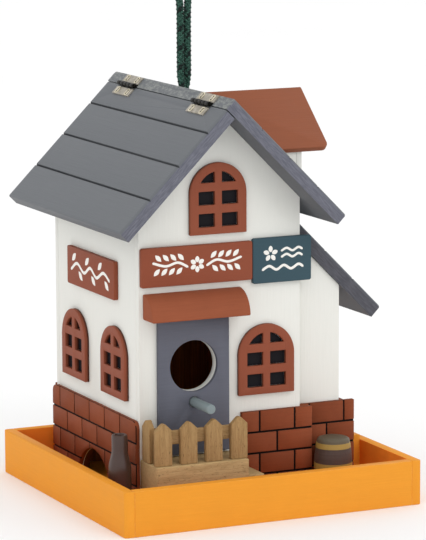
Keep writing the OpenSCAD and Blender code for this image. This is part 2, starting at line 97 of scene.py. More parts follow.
class Finish:
    """A procedural material. Each method adds nodes and returns an output socket."""

    def __init__(self, name, rough=0.55, metallic=0.0, specular=0.22):
        self.material = bpy.data.materials.new(name)
        self.material.use_nodes = True
        self.tree = self.material.node_tree
        self.shader = self.tree.nodes["Principled BSDF"]
        self.shader.inputs["Roughness"].default_value = rough
        self.shader.inputs["Metallic"].default_value = metallic
        self.shader.inputs["Specular IOR Level"].default_value = specular
        self.place = self.node("TexCoord").outputs["Object"]
        self.height = None
        self.base = None

    def node(self, kind, settings=None, **inputs):
        made = self.tree.nodes.new("ShaderNode" + kind)
        for key, value in (settings or {}).items():
            setattr(made, key, value)
        for key, value in inputs.items():
            self.plug(made.inputs[key], value)
        return made

    def plug(self, socket, value):
        if isinstance(value, bpy.types.NodeSocket):
            self.tree.links.new(value, socket)
        else:
            socket.default_value = value

    def math(self, operation, *values):
        made = self.tree.nodes.new("ShaderNodeMath")
        made.operation = operation
        for socket, value in zip(made.inputs, values):
            self.plug(socket, value)
        return made.outputs[0]

    def axis(self, index):
        """X, Y or Z of the point, in millimetres."""
        split = self.node("SeparateXYZ", Vector=self.place)
        return self.math("MULTIPLY", split.outputs[index], 1000)

    def along(self, origin, direction):
        """How far the point lies from origin along direction, both in millimetres."""
        total = -sum(o * d for o, d in zip(origin, direction))
        for index, part in enumerate(direction):
            if part:
                total = self.math("MULTIPLY_ADD", self.axis(index), part, total)
        return total

    def span(self, value, low, high):
        """0 at low and 1 at high, with a smooth step between."""
        return self.node("MapRange", {"interpolation_type": "SMOOTHSTEP"}, Value=value,
                         **{"From Min": low, "From Max": high}).outputs[0]

    def scaled(self, stretch):
        """The point divided by a length in millimetres along each axis."""
        made = self.tree.nodes.new("ShaderNodeVectorMath")
        made.operation = "MULTIPLY"
        self.plug(made.inputs[0], self.place)
        made.inputs[1].default_value = [1000 / s for s in stretch]
        return made.outputs[0]

    def noise(self, stretch, detail=3.0, rough=0.55, seed=0.0):
        """Noise whose blotches measure stretch = (x, y, z) millimetres."""
        made = self.node("TexNoise", {"noise_dimensions": "4D"}, Vector=self.scaled(stretch), W=seed,
                         Scale=1.0, Detail=detail, Roughness=rough)
        return made.outputs["Fac"]

    def flat_noise(self, u, v, stretch, seed=0.0):
        """Noise over two lengths u and v, whose blotches measure stretch = (along u, along v)."""
        across = self.math("DIVIDE", u, stretch[0])
        up = self.math("DIVIDE", v, stretch[1])
        where = self.node("CombineXYZ", X=across, Y=up, Z=seed).outputs[0]
        made = self.node("TexNoise", Vector=where, Scale=1.0, Detail=4, Roughness=0.65)
        return made.outputs["Fac"]

    def mix(self, amount, a, b):
        made = self.tree.nodes.new("ShaderNodeMix")
        made.data_type = "RGBA"
        self.plug(made.inputs[0], amount)
        self.plug(made.inputs[6], a)
        self.plug(made.inputs[7], b)
        return made.outputs[2]

    def tint(self, colour, value):
        """colour times a number."""
        made = self.tree.nodes.new("ShaderNodeVectorMath")
        made.operation = "SCALE"
        self.plug(made.inputs[0], colour if isinstance(colour, bpy.types.NodeSocket) else colour[:3])
        self.plug(made.inputs["Scale"], value)
        return made.outputs[0]

    def edges(self, radius=0.9):
        """1 on the object's edges and 0 on its flats."""
        bevel = self.node("Bevel", {"samples": 6}, Radius=radius * MM)
        flat = self.node("NewGeometry")
        made = self.tree.nodes.new("ShaderNodeVectorMath")
        made.operation = "DOT_PRODUCT"
        self.plug(made.inputs[0], bevel.outputs[0])
        self.plug(made.inputs[1], flat.outputs["Normal"])
        return self.span(made.outputs["Value"], 0.995, 0.86)

    def relief(self, value, depth):
        """Adds value, from 0 to 1, to the bump, depth millimetres high."""
        bump = self.node("Bump", Strength=1.0, Distance=depth * MM, Height=value)
        if self.height is not None:
            self.plug(bump.inputs["Normal"], self.height)
        self.height = bump.outputs[0]
        self.plug(self.shader.inputs["Normal"], self.height)

    def colour(self, value):
        self.base = value
        self.plug(self.shader.inputs["Base Color"], value)

    def inside(self, low, high, slack=0.25):
        """1 in the box from low to high, in metres, and slack millimetres beyond it. None is open."""
        total = 1.0
        for index in range(3):
            if low[index] is not None:
                above = self.math("GREATER_THAN", self.axis(index), low[index] / MM - slack)
                total = self.math("MULTIPLY", total, above)
            if high[index] is not None:
                below = self.math("LESS_THAN", self.axis(index), high[index] / MM + slack)
                total = self.math("MULTIPLY", total, below)
        return total

    def rough(self, value):
        self.plug(self.shader.inputs["Roughness"], value)


def grain(along, fine, long):
    """The size of a wood fibre in each axis, fine across and long along one axis."""
    return [long if "xyz"[i] == along else fine for i in range(3)]


def painted_wood(name, code, along, rough, edge_wear_and_highlight, edge_wear_and_highlight_amount, mottle, seed=0.0, specular=0.22):
    """Brushed paint over wood grain, a little uneven, and a second colour on the edges, which stands for
    worn paint and in part a painted highlight.
    """
    f = Finish(name, rough, specular=specular)
    fibres = f.noise(grain(along, 1.1, 34), 4, 0.6, seed)
    strokes = f.noise(grain(along, 0.45, 16), 3, 0.6, seed + 3)
    patches = f.noise((17, 17, 17), 3, 0.6, seed + 7)
    shade = f.math("MULTIPLY_ADD", fibres, mottle, 1 - 1.5 * mottle)
    shade = f.math("MULTIPLY_ADD", strokes, mottle, shade)
    shade = f.math("MULTIPLY_ADD", patches, mottle, shade)
    base = f.tint(paint_rgb(code), shade)
    # Edge colour: worn paint, and in part a painted highlight along the edges.
    rubbed_and_lit = f.math("MULTIPLY", f.edges(), f.span(f.noise((5, 5, 5), 4, 0.7, seed + 11), 0.42, 0.62))
    f.colour(f.mix(f.math("MULTIPLY", rubbed_and_lit, edge_wear_and_highlight_amount), base, paint_rgb(edge_wear_and_highlight)))
    f.rough(f.math("MULTIPLY_ADD", patches, 0.2, rough - 0.1))
    f.relief(fibres, 0.12)
    f.relief(strokes, 0.08)
    return f


def roof_paint(name, node, code, down, out, start, pitch, seed=0.0, sawn=("5b5c68", "777884")):
    """Grey paint on a roof board, with its grain showing on the two ends, and dark in its grooves.

    The grooves lie every pitch down the slope from start. down and out are the slope's directions.
    """
    f = painted_wood(name, code, "y", 0.6, "8f9290", 0.5, 0.12, seed)
    low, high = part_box(node)
    end = f.math("MAXIMUM", f.math("LESS_THAN", f.axis(1), low.y / MM + 0.3),
                 f.math("GREATER_THAN", f.axis(1), high.y / MM - 0.3))
    depth = f.along(start, out)
    run = f.along(start, down)
    saw_marks = f.flat_noise(run, depth, (7, 0.8), seed + 20)
    cut = f.mix(f.span(saw_marks, 0.35, 0.7), paint_rgb(sawn[0]), paint_rgb(sawn[1]))
    base = f.mix(f.math("MULTIPLY", end, 0.85), f.base, cut)
    steps = f.math("DIVIDE", run, pitch)
    off_line = f.math("MULTIPLY", f.math("PINGPONG", steps, 0.5), pitch)
    slanted = f.math("MULTIPLY_ADD", f.math("ABSOLUTE", depth), GROOVE_HALF / GROOVE_DEEP, off_line)
    groove = f.math("MULTIPLY", f.math("LESS_THAN", slanted, GROOVE_HALF + 0.2), f.span(depth, -0.1, -0.6))
    first_three = f.math("COMPARE", steps, 2.0, 1.4)
    groove = f.math("MULTIPLY", groove, first_three)
    groove = f.math("MULTIPLY", groove, f.math("GREATER_THAN", depth, -GROOVE_DEEP - 0.2))
    f.colour(f.mix(f.math("MULTIPLY", groove, 0.8), base, paint_rgb("2b2d31")))
    f.relief(f.math("MULTIPLY", saw_marks, end), 0.3)
    return f


def brick_paint(name, node, axis, from_high, shift, face_axis, face_high):
    """Brown bricks, each its own shade, with black paint in the cut joints.

    The bricks run along axis, from the node's high or low end, and the first joint stands at shift.
    The brick face looks along face_axis, on the node's high or low side.
    """
    low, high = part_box(node)
    start = (high if from_high else low)[axis] / MM
    face = (high if face_high else low)[face_axis] / MM
    top = high.z / MM
    f = Finish(name, 0.65, specular=0.1)
    across = f.math("MULTIPLY_ADD", f.axis(axis), -1 if from_high else 1, start if from_high else -start)
    depth = f.math("ABSOLUTE", f.math("SUBTRACT", f.axis(face_axis), face))
    course = f.math("DIVIDE", f.math("SUBTRACT", top, f.axis(2)), COURSE)
    row = f.math("FLOOR", course)
    odd = f.math("MODULO", row, 2)
    brick = f.math("SUBTRACT", f.math("DIVIDE", f.math("SUBTRACT", across, shift), BRICK),
                   f.math("MULTIPLY", odd, 0.5))
    wobble = f.math("MULTIPLY_ADD", f.noise((3, 3, 3), 2), 0.5, -0.25)
    off_bed = f.math("MULTIPLY", f.math("PINGPONG", course, 0.5), COURSE)
    off_joint = f.math("MULTIPLY", f.math("PINGPONG", brick, 0.5), BRICK)
    near = f.math("LESS_THAN", f.math("ADD", f.math("MINIMUM", off_bed, off_joint), wobble), JOINT_HALF)
    cut = f.math("MULTIPLY", f.span(depth, 0.12, 0.4), f.math("LESS_THAN", depth, JOINT_DEEP))
    cell = f.node("CombineXYZ", X=f.math("FLOOR", brick), Y=row, Z=float(len(node)))
    own = f.node("TexWhiteNoise", Vector=cell.outputs[0]).outputs["Value"]
    fibres = f.noise(grain("xy"[axis], 0.9, 20), 4, 0.6)
    patches = f.noise((9, 9, 9), 3, 0.6, 4)
    shade = f.math("ADD", f.math("MULTIPLY_ADD", own, 0.22, 0.80),
                   f.math("MULTIPLY_ADD", f.math("ADD", fibres, patches), 0.22, -0.20))
    base = f.tint(paint_rgb("8e4b30"), shade)
    # Lighter edges: worn paint, and in part a painted highlight along the brick edges.
    worn = f.math("MULTIPLY", f.edges(0.7), f.span(f.noise((4, 4, 4), 4, 0.7, 9), 0.5, 0.68))
    base = f.mix(f.math("MULTIPLY", worn, 0.5), base, paint_rgb("b98a70"))
    f.colour(f.mix(f.math("MULTIPLY", near, cut), base, paint_rgb("120d0c")))
    f.relief(fibres, 0.10)
    f.relief(patches, 0.12)
    return f.material


def white_paint(name):
    return painted_wood(name, "e5e5df", "z", 0.65, "c9c6b4", 0.3, 0.035)


def wall_paint(name):
    """White paint outside, bare wood inside the house, and dark brown painted shade in the cut of the feed
    arch.
    """
    f = white_paint(name)
    left_low, left_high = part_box("wall_left")
    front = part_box("wall_front")[1].y
    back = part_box("wall_back")[0].y
    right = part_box("wall_right")[0].x
    room = f.inside((left_high.x, front, None), (right, back, None))
    rings = f.noise(grain("z", 2.2, 60), 5, 0.65, 21)
    raw = f.mix(f.span(rings, 0.3, 0.7), paint_rgb("8a4a26"), paint_rgb("b8743f"))
    base = f.mix(room, f.base, raw)
    arch_low = (left_low.x + 0.4 * MM, front + MM, None)
    # Painted shade: the cut of the feed arch, low in the left wall, is painted dark brown.
    arch = f.inside(arch_low, (left_high.x, back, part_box("plinth_left")[1].z), 0)
    f.colour(f.mix(arch, base, paint_rgb("4a2416")))
    return f.material


def stained_wood(name, along, light, dark, seed=0.0):
    """Open-grained softwood under a thin stain, darker where it is cut across the grain."""
    f = Finish(name, 0.75, specular=0.15)
    bands = f.noise(grain(along, 2.2, 45), 3, 0.5, seed)
    fibres = f.noise(grain(along, 0.5, 7), 4, 0.7, seed + 2)
    pores = f.span(f.noise(grain(along, 0.5, 2.2), 2, 0.6, seed + 5), 0.58, 0.72)
    streak = f.math("MULTIPLY_ADD", bands, 0.35, f.math("MULTIPLY", fibres, 0.65))
    base = f.mix(f.span(streak, 0.3, 0.7), paint_rgb(dark), paint_rgb(light))
    base = f.mix(f.math("MULTIPLY", pores, 0.6), base, paint_rgb("5a4628"))
    edge = f.math("MULTIPLY", f.edges(0.8), f.span(fibres, 0.35, 0.6))
    base = f.mix(f.math("MULTIPLY", edge, 0.35), base, paint_rgb("59422a"))
    f.colour(base)
    f.relief(fibres, 0.16)
    f.relief(pores, -0.12)
    return f.material


def plated_metal(name, dark="938d80", light="b3aca0"):
    """Dull cream plating, finely scratched, with painted shade round the pins."""
    f = Finish(name, 0.42, 0.35, 0.12)
    scratches = f.noise((0.25, 6, 0.25), 3, 0.6)
    dull = f.noise((4, 4, 4), 3, 0.6, 5)
    low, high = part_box("hinge_pin_front")
    pin = (low + high) / 2 / MM
    across = f.math("ABSOLUTE", f.along((pin.x, 0, pin.z), (DIAG, 0, DIAG)))
    # Painted shade on the knuckles round the pin, broken by scratches.
    knuckle_shade = f.math("MULTIPLY", f.span(across, 2.5, 1.8), f.span(scratches, 0.74, 0.62))
    plate = f.mix(f.span(dull, 0.3, 0.7), paint_rgb(dark), paint_rgb(light))
    f.colour(f.mix(knuckle_shade, plate, paint_rgb("12100c")))
    f.rough(f.math("MULTIPLY_ADD", dull, 0.2, 0.34))
    f.relief(scratches, 0.02)
    return f.material


def satin_dark(name, code, turned, rough, specular=0.3):
    """Lacquer on turned wood. turned is how much the rings of the lathe's tool show."""
    f = Finish(name, rough, specular=specular)
    fibres = f.noise(grain("z", 0.9, 14), 4, 0.6)
    cloud = f.noise((6, 6, 6), 3, 0.6, 3)
    rings = f.noise((60, 60, 0.9), 3, 0.6, 8)
    shade = f.math("MULTIPLY_ADD", fibres, 0.2, 0.75)
    shade = f.math("MULTIPLY_ADD", cloud, 0.2, shade)
    shade = f.math("MULTIPLY_ADD", rings, turned, f.math("SUBTRACT", shade, turned / 2))
    f.colour(f.tint(paint_rgb(code), shade))
    f.rough(f.math("MULTIPLY_ADD", cloud, 0.2, rough - 0.1))
    f.relief(fibres, 0.08)
    f.relief(rings, 0.4 * turned)
    return f.material


def brushed_on(name, code, rough, seed=0.0, specular=0.22):
    """A coat of thick paint, for sign motifs, panes and the barrel's bands."""
    f = Finish(name, rough, specular=specular)
    cloud = f.noise((2.2, 2.2, 2.2), 3, 0.6, seed)
    f.colour(f.tint(paint_rgb(code), f.math("MULTIPLY_ADD", cloud, 0.14, 0.93)))
    f.relief(cloud, 0.06)
    return f.material


def yarn(name, code, light):
    """Twisted fibres of a braided cord, with a painted highlight in the lighter colour where the noise is
    high.
    """
    f = Finish(name, 0.85, specular=0.2)
    fuzz_and_highlight = f.noise((0.35, 0.35, 0.9), 3, 0.7)
    # Painted highlight: the noise mixes in the lighter colour.
    f.colour(f.mix(f.span(fuzz_and_highlight, 0.46, 0.68), paint_rgb(code), paint_rgb(light)))
    f.shader.inputs["Sheen Weight"].default_value = 0.1
    f.relief(fuzz_and_highlight, 0.12)
    return f.material


# ---------------------------------------------------------------- mesh helpers

ROD_SIDES = 8


def piece(name, bm, materials, body="house", smooth=True):
    """Makes an object of a bmesh, which rides on a body."""
    mesh = bpy.data.meshes.new(name)
    bmesh.ops.recalc_face_normals(bm, faces=bm.faces)
    bm.to_mesh(mesh)
    bm.free()
    for material in materials:
        mesh.materials.append(material)
    mesh.polygons.foreach_set("use_smooth", [smooth] * len(mesh.polygons))
    if smooth:
        mesh.set_sharp_from_angle(angle=math.radians(38))
    made = bpy.data.objects.new(name, mesh)
    bpy.context.collection.objects.link(made)
    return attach(made, body)


def resampled(points, step):
    """A smooth curve through the points, as points that stand step apart."""
    ends = [2 * points[0] - points[1], *points, 2 * points[-1] - points[-2]]
    fine = []
    for a, b, c, d in zip(ends, ends[1:], ends[2:], ends[3:]):
        for k in range(24):
            t = k / 24
            fine.append(0.5 * (2 * b + (c - a) * t + (2 * a - 5 * b + 4 * c - d) * t * t
                               + (3 * b - a - 3 * c + d) * t ** 3))
    fine.append(points[-1])
    lengths = [0.0]
    for a, b in zip(fine, fine[1:]):
        lengths.append(lengths[-1] + (b - a).length)
    count = max(2, round(lengths[-1] / step))
    even, i = [], 0
    for k in range(count + 1):
        want = lengths[-1] * k / count
        while i < len(fine) - 2 and lengths[i + 1] < want:
            i += 1
        gap = lengths[i + 1] - lengths[i]
        even.append(fine[i].lerp(fine[i + 1], (want - lengths[i]) / gap if gap else 0))
    return even


def tube(bm, centres, radius, frames, slot, flat=1.0):
    """A closed tube round the centres. frames gives each ring's two cross directions."""
    rings = []
    for centre, (u, v) in zip(centres, frames):
        ring = []
        for k in range(ROD_SIDES):
            a = math.tau * k / ROD_SIDES
            ring.append(bm.verts.new(centre + radius * (math.cos(a) * flat * u + math.sin(a) * v)))
        rings.append(ring)
    for a, b in zip(rings, rings[1:]):
        for k in range(ROD_SIDES):
            n = (k + 1) % ROD_SIDES
            bm.faces.new((a[k], a[n], b[n], b[k])).material_index = slot
    for ring in (rings[0], rings[-1]):
        bm.faces.new(ring).material_index = slot


def hoop(bm, rim, radius, out):
    """A closed round rod along the points of a flat loop, whose normal is out."""
    rings = []
    for i, point in enumerate(rim):
        ahead = (rim[(i + 1) % len(rim)] - rim[i - 1]).normalized()
        side = ahead.cross(out)
        ring = []
        for k in range(ROD_SIDES):
            a = math.tau * k / ROD_SIDES
            ring.append(bm.verts.new(point + radius * (math.cos(a) * side + math.sin(a) * out)))
        rings.append(ring)
    for a, b in zip(rings, rings[1:] + rings[:1]):
        for k in range(ROD_SIDES):
            n = (k + 1) % ROD_SIDES
            bm.faces.new((a[k], a[n], b[n], b[k]))


def slab(bm, back, front, slot=0):
    """Closes the space between two outlines of the same number of corners."""
    bm.faces.new(back).material_index = slot
    bm.faces.new(front).material_index = slot
    for a, b, c, d in zip(back, back[1:] + back[:1], front[1:] + front[:1], front):
        bm.faces.new((a, b, c, d)).material_index = slot


def lathe(bm, profile, centre, sides, shape=None, slot=0):
    """Turns (radius, height) pairs round a vertical axis. shape changes a radius at a height."""
    rings = []
    for radius, height in profile:
        if radius < 1e-9:
            rings.append([bm.verts.new(centre + UP * height)])
            continue
        r = shape(radius, height) if shape else radius
        ring = []
        for k in range(sides):
            a = math.tau * k / sides
            ring.append(bm.verts.new(centre + Vector((r * math.cos(a), r * math.sin(a), height))))
        rings.append(ring)
    for a, b in zip(rings, rings[1:]):
        for k in range(sides):
            n = (k + 1) % sides
            loop = [a[k % len(a)], a[n % len(a)], b[n % len(b)], b[k % len(b)]]
            loop = [v for i, v in enumerate(loop) if v not in loop[:i]]
            bm.faces.new(loop).material_index = slot


def dress(node, material, edge, segments=2):
    """Gives a CAD node its material and rounds its edges, edge millimetres wide."""
    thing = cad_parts[node]
    thing.data.materials.clear()
    thing.data.materials.append(material)
    thing.data.polygons.foreach_set("use_smooth", [True] * len(thing.data.polygons))
    weld = thing.modifiers.new("weld", "WELD")
    weld.merge_threshold = 0.00001
    flat = thing.modifiers.new("flat", "DECIMATE")
    flat.decimate_type = "DISSOLVE"
    flat.angle_limit = math.radians(0.5)
    bevel = thing.modifiers.new("bevel", "BEVEL")
    bevel.width = edge * MM
    bevel.segments = segments
    bevel.limit_method = "ANGLE"
    bevel.angle_limit = math.radians(35)
    bevel.harden_normals = True
    bevel.use_clamp_overlap = True


# ---------------------------------------------------------------- hanging cord

CORD_D = 0.0047
CORD_PITCH = 0.012
CORD_STEP = 0.0006
CORD_ROUTE = [Vector(p) for p in (
    (-.007, .0156, .228), (-.007, .0156, .238), (-.0072, .0156, .243), (-.0076, .0156, .247),
    (-.0084, .0159, .251), (-.009, .0166, .255), (-.0093, .0173, .259), (-.0094, .018, .264),
    (-.0094, .018, .290), (-.0095, .018, .303), (-.0103, .018, .311), (-.012, .018, .318),
    (-.0144, .018, .325), (-.0166, .018, .332), (-.0175, .018, .3375), (-.0168, .018, .3415),
    (-.0144, .018, .3448), (-.011, .018, .347), (-.007, .018, .3478), (-.003, .018, .347),
    (.0004, .018, .3448), (.0028, .018, .3415), (.0035, .018, .3375), (.0026, .018, .332),
    (.0004, .018, .325), (-.002, .018, .318), (-.0037, .018, .311), (-.0044, .018, .303),
    (-.0046, .018, .290), (-.0046, .018, .264), (-.0047, .0187, .259), (-.005, .0194, .255),
    (-.0056, .0201, .251), (-.0064, .0204, .247), (-.0068, .0204, .243), (-.007, .0204, .238),
    (-.007, .0204, .228))]


def path_frames(path, out):
    """Two cross directions at each point of a path that bends mostly about out."""
    frames = []
    for i in range(len(path)):
        ahead = (path[min(i + 1, len(path) - 1)] - path[max(i - 1, 0)]).normalized()
        side = ahead.cross(out).normalized()
        frames.append((side, side.cross(ahead).normalized()))
    return frames


def braid(bm, path, frames, diameter):
    """Four yarns each way round, one of them black, that pass over and under each other."""
    thick = 0.17 * diameter
    lift = 0.085 * diameter
    middle = 0.56 * diameter - thick - lift
    for way in (1, -1):
        for k in range(4):
            centres, turned = [], []
            for i, (point, (u, v)) in enumerate(zip(path, frames)):
                t = i * CORD_STEP / CORD_PITCH
                angle = way * math.tau * t + math.pi / 2 * k + 0.4
                over = way * lift * math.cos(8 * math.pi * t)
                radial = math.cos(angle) * u + math.sin(angle) * v
                around = -math.sin(angle) * u + math.cos(angle) * v
                centres.append(point + radial * (middle + over))
                turned.append((around, radial))
            # One black yarn each way: partly its own colour, partly painted shade between the yarns.
            black = k == way + 1
            tube(bm, centres, thick, turned, int(black), 1.35)
    # The core is black as painted shade, seen in the gaps between the yarns.
    tube(bm, path, diameter * 0.3, frames, 1)


def make_cord():
    """The braided cord from the knot up round the hanging loop and back, and the knot inside the roof."""
    path = resampled(CORD_ROUTE, CORD_STEP)
    bm = bmesh.new()
    braid(bm, path, path_frames(path, Vector((0, 1, 0))), CORD_D)
    yarns = [yarn("cord_green", "12332a", "5c8d7a"), yarn("cord_black_and_gap_shade", "060908", "2c4a42")]
    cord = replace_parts(piece("braided_cord", bm, yarns), "hanging_cord")
    low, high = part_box("cord_knot")
    centre = (low + high) / 2
    size = (high.x - low.x) / 2
    loops = []
    for k in range(61):
        t = math.tau * k / 60
        loops.append(centre + size * Vector((0.21 * (math.sin(t) + 2 * math.sin(2 * t)),
                                             0.21 * (math.cos(t) - 2 * math.cos(2 * t)),
                                             -0.30 * math.sin(3 * t))))
    knot_path = resampled(loops, CORD_STEP)
    bm = bmesh.new()
    braid(bm, knot_path, path_frames(knot_path, UP), CORD_D * 0.9)
    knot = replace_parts(piece("tied_knot", bm, yarns), "cord_knot")


make_cord()


# ---------------------------------------------------------------- tray and walls

def tray_paint(name, along, seed=0.0):
    # The light orange on the edges is a painted highlight as well as worn paint.
    return painted_wood(name, "ea9a32", along, 0.6, "fac274", 0.85, 0.09, seed, 0.08)


def dress_tray():
    """Orange boards, with painted shade that makes their inner faces a deeper, redder orange."""
    inner_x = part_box("tray_left")[1].x
    inner_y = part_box("tray_front")[1].y
    layouts = {"y": ("tray_left", "tray_right"), "x": ("tray_front", "tray_back")}
    for along, nodes in layouts.items():
        f = tray_paint("tray_paint_" + along, along, 4.0)
        # Painted shade: the inner faces get the deeper orange below.
        inner_shade_mask = f.inside((inner_x, inner_y, None), (-inner_x, -inner_y, None))
        cloud = f.noise((12, 12, 12), 3, 0.6, 30)
        deep = f.tint(paint_rgb("fb8c2f"), f.math("MULTIPLY_ADD", cloud, 0.3, 0.85))
        f.colour(f.mix(inner_shade_mask, f.base, deep))
        for node in nodes:
            dress(node, f.material, 0.35)
    dress("tray_divider", tray_paint("tray_divider_paint", "x").material, 0.35)
    dress("tray_floor", tray_paint("tray_floor_paint", "y", 8.0).material, 0.35)


def dress_walls():
    walls = wall_paint("wall_paint")
    for node in ("wall_front", "wall_back", "wall_left", "wall_right",
                 "annex_front", "annex_back", "annex_side"):
        dress(node, walls, 0.5)
    dormer = white_paint("dormer_wall_paint").material
    for node in ("dormer_gable", "dormer_cheek_front", "dormer_cheek_back"):
        dress(node, dormer, 0.5)


# ---------------------------------------------------------------- roof

def dress_roof():
    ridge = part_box("roof_fixed")
    top_z = ridge[1].z / MM
    top_x = ridge[0].x / MM + ROOF_T * DIAG
    corner = (top_x, 0, top_z)
    grey = "696c70"
    lid = roof_paint("roof_paint_lid", "roof_lid", grey, (-DIAG, 0, -DIAG), (-DIAG, 0, DIAG),
                     corner, PLANK)
    dress("roof_lid", lid.material, 0.6)
    fixed = roof_paint("roof_paint_fixed", "roof_fixed", grey, (DIAG, 0, -DIAG), (DIAG, 0, DIAG),
                       corner, FIXED_PLANK, 5)
    strip = fixed.span(fixed.math("ABSOLUTE", fixed.along(corner, (-DIAG, 0, DIAG))), 0.5, 0.2)
    worn = fixed.math("MULTIPLY", strip, fixed.span(fixed.noise((2.4, 5, 2.4), 4, 0.7, 33), 0.44, 0.62))
    fixed.colour(fixed.mix(fixed.math("MULTIPLY", worn, 0.55), fixed.base, paint_rgb("a0a39c")))
    dress("roof_fixed", fixed.material, 0.6)
    low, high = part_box("annex_roof")
    cut_off = (2 * DIAG - 1) * EAVE_R
    eave = (high.x / MM + cut_off, 0, low.z / MM + ANNEX_ROOF_T * DIAG)
    annex = roof_paint("roof_paint_annex", "annex_roof", "64676c", (-DIAG, 0, DIAG), (DIAG, 0, DIAG),
                       eave, PLANK, 9, ("43434b", "5b5b63"))
    dress("annex_roof", annex.material, 0.6)


# ---------------------------------------------------------------- plinth

def dress_plinth():
    """Each board gets the joints that are cut in it: see brick_paint for the values."""
    half = BRICK / 2
    boards = {"plinth_left": (1, True, half, 0, False), "plinth_front": (0, False, half, 1, False),
              "plinth_back": (0, True, half, 1, True), "plinth_annex_front": (0, False, 7.9, 1, False),
              "plinth_annex_side": (1, False, half, 0, True),
              "plinth_annex_back": (0, True, half, 1, True)}
    for node, layout in boards.items():
        dress(node, brick_paint("brick_" + node, node, *layout), 0.22, 1)


# ---------------------------------------------------------------- trim, door and fence

def window_paint(node):
    """Brown paint, with painted shade that darkens it towards the wall."""
    f = painted_wood("paint_" + node, "8c4a33", "z", 0.6, "a9705a", 0.35, 0.10, 3)
    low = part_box(node)[0]
    index = 0 if node.startswith("window_side") else 1
    depth = f.math("SUBTRACT", f.axis(index), low[index] / MM)
    # Painted shade in the window reveals, darker the closer to the wall.
    f.colour(f.mix(f.math("MULTIPLY", f.span(depth, 0.9, 2.4), 0.75), f.base, paint_rgb("2c130c")))
    return f.material


def dress_trim():
    flat = painted_wood("sign_paint", "8b4831", "x", 0.6, "a9705a", 0.35, 0.10)
    awning = painted_wood("awning_paint", "955339", "x", 0.7, "ab7259", 0.4, 0.22, 14, 0.1)
    dormer = painted_wood("dormer_paint", "8e5136", "x", 0.6, "7c3d27", 0.5, 0.14, 6)
    door = painted_wood("door_paint", "60626d", "x", 0.6, "484a54", 0.4, 0.16, 8)
    perch = painted_wood("perch_paint", "7f8b8d", "y", 0.5, "8f9896", 0.4, 0.10, 10)
    dark = painted_wood("sign_dark_paint", "38505a", "x", 0.6, "26363c", 0.4, 0.10, 12)
    for node in ("sign_side", "sign_front"):
        dress(node, flat.material, 0.45)
    dress("door_awning", awning.material, 1.3, 3)
    for node in ("window_attic", "window_front", "window_side_front", "window_side_back"):
        dress(node, window_paint(node), 0.4)
    for node in ("dormer_roof_front", "dormer_roof_back"):
        dress(node, dormer.material, 0.7)
    dress("door_panel", door.material, 0.4)
    dress("perch", perch.material, 0.8, 3)
    dress("sign_corner", dark.material, 0.5)


def dress_fence():
    across = stained_wood("fence_wood_x", "x", "b39368", "8e6f45", 2)
    upright = stained_wood("fence_wood_z", "z", "b08f62", "8f7048", 6)
    block = stained_wood("porch_wood", "x", "c6a97a", "a3865b", 2)
    deep = stained_wood("fence_wood_y", "y", "a07c54", "82623e", 9)
    dress("porch_block", block, 0.9, 3)
    dress("porch_step", block, 0.9, 3)
    dress("rail_front", across, 0.6)
    dress("rail_side", deep, 0.6)
    for node in ("picket_1", "picket_2", "picket_3", "picket_4", "picket_side"):
        dress(node, upright, 0.6)


def make_panes():
    """Black paint in the lights of each window, on the wall behind the frame."""
    black = brushed_on("pane_black", "171519", 0.6, 0, 0.12)
    for node in ("window_attic", "window_front", "window_side_front", "window_side_back"):
        low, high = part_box(node)
        sideways = node.startswith("window_side")
        centre = (low.y + high.y) / 2 if sideways else (low.x + high.x) / 2
        bm = bmesh.new()

        def put(u, v, lift):
            """A point of the pane: u across from the middle, v up from the base, lift off the wall."""
            if sideways:
                return bm.verts.new((high.x - lift * MM, centre - u * MM, low.z + v * MM))
            return bm.verts.new((centre + u * MM, high.y - lift * MM, low.z + v * MM))

        for side in (-1, 1):
            for outline in ([(2.5, 4.7), (13.1, 4.7), (13.1, 12.8), (2.5, 12.8)],
                            [(2.5, 18.3), (13.1, 18.3), (13.1, 26.4), (2.5, 26.4)],
                            [(2.5, 31.9)] + [(13.6 * math.cos(a), 25 + 13.6 * math.sin(a)) for a in
                                             [math.radians(30.5 + 49 * k / 7) for k in range(8)]]):
                back = [put(side * u, v, 0.0) for u, v in outline]
                front = [put(side * u, v, 0.35) for u, v in outline]
                slab(bm, back, front)
        made = piece("panes_" + node.removeprefix("window_"), bm, [black], smooth=False)


# ---------------------------------------------------------------- bottle and barrel

def make_bottle():
    low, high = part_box("bottle")
    centre = Vector(((low.x + high.x) / 2, (low.y + high.y) / 2, low.z))
    profile = [(0, 0.3), (5.4, 0.3), (6.4, 0), (7.0, 0.6), (7.1, 2), (7.1, 25), (7.0, 27.2), (6.7, 29.2),
               (6.2, 31.3), (5.6, 33.4), (5.15, 35.2), (4.92, 37), (4.88, 40), (4.88, 46.2), (4.6, 47.1),
               (3.9, 47.4), (3.1, 47.2), (2.8, 46.4), (2.7, 44.6), (0, 44.4)]
    bm = bmesh.new()
    lathe(bm, [(r * MM, z * MM) for r, z in profile], centre, 56)
    made = piece("wooden_bottle", bm, [satin_dark("bottle_lacquer", "432f28", 0.1, 0.32, 0.5)])
    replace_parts(made, "bottle")


